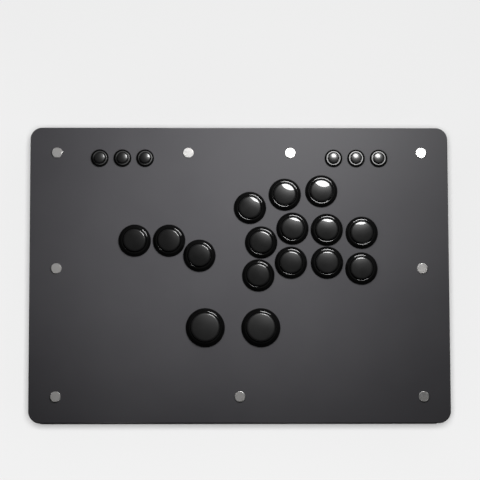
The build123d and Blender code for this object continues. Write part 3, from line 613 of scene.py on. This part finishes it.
def magnet_profile():
    """A disc with rounded edges, from the middle of its top to the middle of its bottom."""
    flat = MAGNET_RADIUS - MAGNET_EDGE
    return (
        [(0, MAGNET_TOP), (flat - MAGNET_RIM, MAGNET_TOP)]
        + arc((flat, MAGNET_TOP - MAGNET_EDGE), MAGNET_EDGE, 90, 0, 8)
        + arc((flat, MAGNET_BOTTOM + MAGNET_EDGE), MAGNET_EDGE, 0, -90, 8)
        + [(flat - MAGNET_RIM, MAGNET_BOTTOM), (0, MAGNET_BOTTOM)]
    )


discs = [(lathe("disc", magnet_profile(), x * MM, y * MM, PLATE_TOP, 96), 0) for x, y in MAGNET_PLACES]
disc_mesh = bundle("plate_magnets", discs)
magnets = piece("plate_magnets", disc_mesh, "panel", ["panel_magnets"], [nickel])


# ---------------------------------------------------------------- springs
SPRING_RADIUS = 3.5
SPRING_WIRE = 0.3
SPRING_TURNS = 6
SPRING_STEPS = 12  # points in each turn
SPRING_END_GAP = 0.15

spring_steel = metal("spring_steel", grey(0.42), 0.25)
plate_top_mm = PLATE_TOP / MM
spring_low = plate_top_mm - OPTION.depth + SPRING_WIRE + SPRING_END_GAP
spring_high = plate_top_mm - OPTION.cap_depth - SPRING_WIRE - SPRING_END_GAP
for number, node in enumerate(OPTION_PLUNGERS, 1):
    x, y = centre_of(node)
    turns = []
    for step in range(SPRING_TURNS * SPRING_STEPS + 1):
        angle = math.tau * step / SPRING_STEPS
        height = spring_low + (spring_high - spring_low) * step / (SPRING_TURNS * SPRING_STEPS)
        turns.append((x + SPRING_RADIUS * math.cos(angle), y + SPRING_RADIUS * math.sin(angle), height))
    mesh = tube(f"return_spring_{number}", turns, SPRING_WIRE, resolution=3, sides=3)
    smooth(mesh, 50.0)
    spring = piece(mesh.name, mesh, "panel", ["option_springs"], [spring_steel])
    foot = (x * MM, y * MM, spring_low * MM)
    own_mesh(spring)


# ---------------------------------------------------------------- wires
WIRE_RADIUS = 0.6
# Heights above the desk.
WIRE_LEVEL = 13.0
JUMPER_LEVEL = 16.0
SLEEVE_BOTTOM = 18.5
OPTION_SLEEVE_BOTTOM = 22.0
BELOW_SLEEVE = 15.6  # where a wire from a play button starts to bend
BELOW_OPTION_SLEEVE = 16.0
BELOW_GROUND_SLEEVE = 16.5
OPTION_JUMPER_LEVEL = 19.0
# Sideways and lengthways moves of a wire, and where the blades, lugs, plugs and pins are.
SHORTEST_BEND = 4.0
OPTION_LEAD_SHIFT = 3
GROUND_LANE_SHIFT = 4.0
GROUND_BEND = 5
GROUND_DETOUR = 6
GROUND_SHORTCUT = 2
BLADE_OFFSET = 3.5
LUG_OFFSET = 2.5
FIRST_LANE = 81.0
LANE_PITCH = 1.8
PLUG_FACE = 85.0
PIN_PITCH = 2.0
RIGHT_PINS = [23.0 - PIN_PITCH * n for n in range(12)]
LEFT_PINS = [-23.0 + PIN_PITCH * n for n in range(5)]
SIDE_PINS = [96.0 - PIN_PITCH * n for n in range(4)]
SIDE_PLUG_FACE = 35.0
SIDE_BY_SIDE = 0.8
LUG_SIDE_BY_SIDE = 0.7
# How far aside of its button each of these wires runs.
LANE_STEPS = {"left": 4.0, "thumb_right": 5.0, "low_1": -3.0, "low_2": 4.0, "low_3": 4.0, "low_4": 4.0}

PLAY = {n.removeprefix("housing_"): centre_of(n) for n in HOUSINGS}
OPTIONS = [centre_of(n) for n in OPTION_PLUNGERS]


def signal_route(x, y, step, lane, pin):
    """From the front blade's sleeve down to the wire level, back along its own lane and into its pin."""
    start_y = y - BLADE_OFFSET
    lane_x = x + step
    reach = max(SHORTEST_BEND, abs(step) + 1)
    return [
        (x, start_y, SLEEVE_BOTTOM), (x, start_y, BELOW_SLEEVE), (lane_x, start_y + reach, WIRE_LEVEL),
        (lane_x, lane, WIRE_LEVEL), (pin, lane, WIRE_LEVEL), (pin, PLUG_FACE, WIRE_LEVEL),
    ]


def lanes(side, pins, first_lane):
    """Routes of the buttons on one side, the outermost wire nearest the board."""
    starts = [(x, y, LANE_STEPS.get(name, 0.0)) for name, (x, y) in PLAY.items() if x * side > 0]
    order = sorted(starts, key=lambda start: -abs(start[0] + start[2]))
    return [
        signal_route(*start, first_lane - LANE_PITCH * n, pin)
        for n, (start, pin) in enumerate(zip(order, pins))
    ]


signal_routes = lanes(1, RIGHT_PINS, FIRST_LANE) + lanes(-1, LEFT_PINS[1:], FIRST_LANE - LANE_PITCH)
for side in (-1, 1):
    near_first = sorted([x for x, _ in OPTIONS if x * side > 0], key=abs)
    face = side * SIDE_PLUG_FACE
    lug_y = OPTIONS[0][1] - LUG_OFFSET
    for x, pin_y in zip(near_first, SIDE_PINS):
        signal_routes.append([
            (x, lug_y, OPTION_SLEEVE_BOTTOM), (x, lug_y, BELOW_OPTION_SLEEVE),
            (x - side * OPTION_LEAD_SHIFT, pin_y, WIRE_LEVEL), (face, pin_y, WIRE_LEVEL),
        ])

left_x, left_y = PLAY["left"]
ground_lane = left_x - GROUND_LANE_SHIFT
ground_x, ground_y = left_x - SIDE_BY_SIDE, left_y + BLADE_OFFSET
ground_routes = [[
    (ground_x, ground_y, SLEEVE_BOTTOM), (ground_x, ground_y, BELOW_SLEEVE),
    (ground_lane, ground_y + GROUND_BEND, WIRE_LEVEL), (ground_lane, FIRST_LANE, WIRE_LEVEL),
    (LEFT_PINS[0], FIRST_LANE, WIRE_LEVEL), (LEFT_PINS[0], PLUG_FACE, WIRE_LEVEL),
]]
for side in (-1, 1):
    far = side * max(abs(x) for x, _ in OPTIONS)
    start = far + side * LUG_SIDE_BY_SIDE
    lug_y = OPTIONS[0][1] + LUG_OFFSET
    detour = far + side * GROUND_DETOUR
    ground_routes.append([
        (start, lug_y, OPTION_SLEEVE_BOTTOM), (start, lug_y, BELOW_GROUND_SLEEVE),
        (detour, lug_y - GROUND_SHORTCUT, WIRE_LEVEL), (detour, SIDE_PINS[-1], WIRE_LEVEL),
        (side * SIDE_PLUG_FACE, SIDE_PINS[-1], WIRE_LEVEL),
    ])

WIRE_COLOURS = {
    "red": (0.50, 0.014, 0.012, 1), "yellow": (0.72, 0.44, 0.02, 1), "blue": (0.012, 0.06, 0.38, 1),
    "green": (0.012, 0.20, 0.035, 1), "white": (0.70, 0.70, 0.68, 1), "orange": (0.68, 0.16, 0.012, 1),
}
ground_black = insulation("insulation_black", grey(0.015))
colours = [insulation("insulation_" + name, colour) for name, colour in WIRE_COLOURS.items()]
parts = [(tube("wire", route, WIRE_RADIUS), n % len(colours)) for n, route in enumerate(signal_routes)]
parts += [(tube("wire", route, WIRE_RADIUS), len(colours)) for route in ground_routes]
harness = piece(
    "signal_harness", bundle("signal_harness", parts), None, ["signal_wires"],
    colours + [ground_black],
)
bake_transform(harness)

# Ground jumpers: each leaves one side of a blade and arrives at one side of the next, round any bend given.
CHAIN = [
    ("left", 1, "down", -1, []), ("down", 1, "right", -1, []), ("right", 1, "thumb_left", -1, [(-42.0, 4.0)]),
    ("thumb_left", 1, "thumb_right", -1, []), ("thumb_right", 1, "low_1", -1, [(25.0, -8.0)]),
    ("low_1", 1, "low_2", -1, []), ("low_2", 1, "low_3", -1, []), ("low_3", 1, "low_4", -1, []),
    ("low_4", 1, "mid_4", 1, [(112.0, 26.0)]), ("mid_4", -1, "mid_3", 1, []), ("mid_3", -1, "mid_2", 1, []),
    ("mid_2", -1, "mid_1", 1, []), ("mid_1", -1, "top_1", -1, [(2.5, 46.0)]), ("top_1", 1, "top_2", -1, []),
    ("top_2", 1, "top_3", -1, []),
]
jumper_routes = []
for first, leave, second, arrive, bends in CHAIN:
    x1, y1 = PLAY[first][0] + leave * SIDE_BY_SIDE, PLAY[first][1] + BLADE_OFFSET
    x2, y2 = PLAY[second][0] + arrive * SIDE_BY_SIDE, PLAY[second][1] + BLADE_OFFSET
    middle = [(x, y, JUMPER_LEVEL) for x, y in bends]
    jumper_routes.append([
        (x1, y1, SLEEVE_BOTTOM), (x1, y1, JUMPER_LEVEL), *middle,
        (x2, y2, JUMPER_LEVEL), (x2, y2, SLEEVE_BOTTOM),
    ])
for n in (0, 1, 3, 4):  # from each option button to the next in its group of three
    (x1, y1), (x2, _) = OPTIONS[n], OPTIONS[n + 1]
    ends = (x1 + LUG_SIDE_BY_SIDE, x2 - LUG_SIDE_BY_SIDE)
    jumper_routes.append(
        [(ends[0], y1 + LUG_OFFSET, z) for z in (OPTION_SLEEVE_BOTTOM, OPTION_JUMPER_LEVEL)]
        + [(ends[1], y1 + LUG_OFFSET, z) for z in (OPTION_JUMPER_LEVEL, OPTION_SLEEVE_BOTTOM)]
    )
jumpers = bundle("ground_jumpers", [(tube("jumper", route, WIRE_RADIUS), 0) for route in jumper_routes])
piece("ground_jumpers", jumpers, "panel", ["ground_wires"], [ground_black])


# ---------------------------------------------------------------- circuit board detail
BOARD_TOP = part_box("encoder_board")[1].z / MM
CHIP_CENTRE = (0.0, 103.0)
CHIP_HALF = 5.0
LEG_PITCH = 0.8
LEGS_A_SIDE = 11
LEG_WIDTH = 0.32
LEG_OUTLINE = [
    (0, 0.75), (0.35, 0.75), (0.6, 0.16), (1.2, 0.16), (1.2, 0.04), (0.5, 0.04), (0.25, 0.6), (0, 0.6),
]
PAD_OUT = 0.9  # from the chip's side to the middle of a pad
PAD_HALF_LENGTH = 0.6
PAD_HALF_WIDTH = 0.22
TRACE_END_GAP = 1.6  # from the chip's side to the end of a track
PAD_THICK = 0.05
TRACE_WIDTH = 0.3
TRACE_THICK = 0.035
TRACES = 5
TRACE_START = 93.2
TRACE_LANE = 93.8
TRACE_LANE_PITCH = 0.55
SCREW_PAD = (1.7, 2.95)
BOARD_HOLES = [(x, y) for x in (-28.5, 28.5) for y in (103.5, 117.0)]


def leg(place, turn):
    """One bent leg of a chip, at a place on its side, leading out along turn degrees."""
    made = bmesh.new()
    sides = [[made.verts.new((r, w, h)) for r, h in LEG_OUTLINE] for w in (-LEG_WIDTH / 2, LEG_WIDTH / 2)]
    for n in range(len(LEG_OUTLINE)):
        after = (n + 1) % len(LEG_OUTLINE)
        made.faces.new((sides[0][n], sides[0][after], sides[1][after], sides[1][n]))
    made.faces.new(sides[0][::-1])
    made.faces.new(sides[1])
    bmesh.ops.recalc_face_normals(made, faces=made.faces)
    mesh = finished("leg", made)
    upright = Matrix.Rotation(math.radians(turn), 4, "Z")
    mesh.transform(Matrix.Scale(MM, 4) @ Matrix.Translation((*place, BOARD_TOP)) @ upright)
    return mesh


def trace(points):
    """A copper track along upright and level runs on the board."""
    half = TRACE_WIDTH / 2
    runs = []
    for (x1, y1), (x2, y2) in zip(points, points[1:]):
        low = (min(x1, x2) - half, min(y1, y2) - half, BOARD_TOP)
        runs.append(block("trace", low, (max(x1, x2) + half, max(y1, y2) + half, BOARD_TOP + TRACE_THICK)))
    return runs


legs = []
pads = []
for number in range(LEGS_A_SIDE):
    along = (number - LEGS_A_SIDE // 2) * LEG_PITCH
    for turn in (0, 90, 180, 270):
        out = Vector((math.cos(math.radians(turn)), math.sin(math.radians(turn))))
        place = Vector(CHIP_CENTRE) + out * CHIP_HALF + Vector((-out.y, out.x)) * along
        legs.append((leg(place, turn), 0))
        centre = place + out * PAD_OUT
        reach = Vector([abs(along_axis) * PAD_HALF_LENGTH + PAD_HALF_WIDTH for along_axis in out])
        low, high = centre - reach, centre + reach
        pads.append((block("pad", (*low, BOARD_TOP), (*high, BOARD_TOP + PAD_THICK)), 0))
for x, y in BOARD_HOLES:
    inner, outer = SCREW_PAD
    ring = [(inner, 0), (outer, 0), (outer, PAD_THICK), (inner, PAD_THICK)]
    pads.append((lathe("pad", ring, x * MM, y * MM, BOARD_TOP * MM, 48), 0))
tracks = []
for side, pins in ((1, RIGHT_PINS[::-1]), (-1, LEFT_PINS[::-1])):
    for number, pin in enumerate(pins[:TRACES]):
        lane = TRACE_LANE + TRACE_LANE_PITCH * number
        foot = side * LEG_PITCH * (number + 1)
        last = CHIP_CENTRE[1] - CHIP_HALF - TRACE_END_GAP
        tracks += trace([(pin, TRACE_START), (pin, lane), (foot, lane), (foot, last)])
tinned = metal("tinned_copper", grey(0.66), 0.3)
mask_track = moulded("track_mask", (0.02, 0.20, 0.085, 1), 0.3, 2500, 0.00001)
piece("chip_legs", bundle("chip_legs", legs), "case", materials=[tinned])
piece("board_pads", bundle("board_pads", pads), "case", materials=[tinned])
track_mesh = bundle("board_tracks", [(track, 0) for track in tracks])
piece("board_tracks", track_mesh, "case", materials=[mask_track])


# ---------------------------------------------------------------- floor, light and camera
def floor():
    """A plain pale sheet of paper, 16 m wide."""
    size = 8.0
    mesh = bpy.data.meshes.new("studio_floor")
    corners = [(-size, -size, 0), (size, -size, 0), (size, size, 0), (-size, size, 0)]
    mesh.from_pydata(corners, [], [(0, 1, 2, 3)])
    made = put_in_scene("studio_floor", mesh)
    look = Look("floor_paper")
    look.set("Base Color", look.mix(look.noise(3, 2.0), grey(0.80), grey(0.83)))
    look.set("Roughness", 0.9)
    mesh.materials.append(look.material)
    made.visible_glossy = False
    return made


def softbox(name, place, aim, width, depth, radiance, glossy=True, shape="RECTANGLE"):
    """An area light, unseen by the camera, of a given surface brightness."""
    light = bpy.data.lights.new(name, "AREA")
    light.shape = shape
    light.size = width
    light.size_y = depth
    fill = math.pi / 4 if shape == "ELLIPSE" else 1.0
    light.energy = radiance * math.pi * width * depth * fill
    made = put_in_scene(name, light)
    made.location = place
    made.rotation_euler = (Vector(aim) - Vector(place)).to_track_quat("-Z", "Y").to_euler()
    made.visible_camera = False
    made.visible_glossy = glossy
    return made


def light_link(light, state, *things):
    """The light falls on these things alone (INCLUDE), or on everything else (EXCLUDE)."""
    receivers = bpy.data.collections.new(light.name + "_receivers")
    for thing in things:
        receivers.objects.link(thing)
    for entry in receivers.collection_objects:
        entry.light_linking.link_state = state
    light.light_linking.receiver_collection = receivers


def studio_world(brightness, in_gloss):
    """An even pale surround, dimmer where it is only seen in a glossy surface."""
    world = bpy.data.worlds.new("studio")
    world.use_nodes = True
    tree = world.node_tree
    background = tree.nodes["Background"]
    background.inputs["Color"].default_value = (1, 1, 1, 1)
    path = tree.nodes.new("ShaderNodeLightPath")
    dim = tree.nodes.new("ShaderNodeMapRange")
    tree.links.new(path.outputs["Is Glossy Ray"], dim.inputs["Value"])
    dim.inputs["To Min"].default_value = brightness
    dim.inputs["To Max"].default_value = in_gloss
    tree.links.new(dim.outputs[0], background.inputs["Strength"])
    bpy.context.scene.world = world


def camera(place, yaw, tilt, roll, lens):
    """Looks down, turned by yaw, tilted back by tilt and rolled about its own line of sight, in degrees."""
    data = bpy.data.cameras.new("camera")
    data.lens = lens
    data.clip_start = 0.01
    data.clip_end = 100
    made = put_in_scene("camera", data)
    turn = (
        Matrix.Rotation(math.radians(yaw), 4, "Z") @ Matrix.Rotation(math.radians(tilt), 4, "X")
        @ Matrix.Rotation(math.radians(roll), 4, "Z")
    )
    made.matrix_world = Matrix.Translation(place) @ turn
    bpy.context.scene.camera = made


paper = floor()
key = softbox(
    "key", place=(0.105, 0.238, 0.40), aim=(0.045, 0.06, PLATE_TOP), width=0.18, depth=0.15, radiance=27.0,
    shape="ELLIPSE",
)
light_link(key, "EXCLUDE", paper)
top_aim = Vector((-0.024, 0.076, PLATE_TOP))
top_place = top_aim + Vector((0, 0, 0.135))
top = softbox("top", top_place, top_aim, width=0.26, depth=0.30, radiance=3.35, glossy=False)
light_link(top, "INCLUDE", NODES["top_panel"])
disc_light = softbox("disc_light", (-0.30, 0.35, 1.2), (-0.30, 0.35, 0), width=1.1, depth=0.9, radiance=0.52)
light_link(disc_light, "INCLUDE", magnets)
shaded = [paper, NODES["top_panel"], *buttons]
for number, (x, y) in enumerate([(-1.2, -1.4), (1.2, -1.2), (1.3, 1.2), (-1.3, 1.3)]):
    side = softbox(f"side_{number}", (x, y, 0.7), (0, 0, 0.03), width=0.9, depth=0.9, radiance=2.4)
    light_link(side, "EXCLUDE", *shaded)
sweep = softbox("sweep", (-0.05, -0.26, 3.0), (0, 0, 0), width=0.7, depth=0.7, radiance=60.0, glossy=False)
light_link(sweep, "INCLUDE", paper)
studio_world(brightness=0.09, in_gloss=0.04)
camera(place=(-0.048, -0.263, 2.175), yaw=-9.39, tilt=7.94, roll=9.33, lens=187.5)

scene = bpy.context.scene
scene.view_settings.view_transform = "Standard"
scene.cycles.use_denoising = True
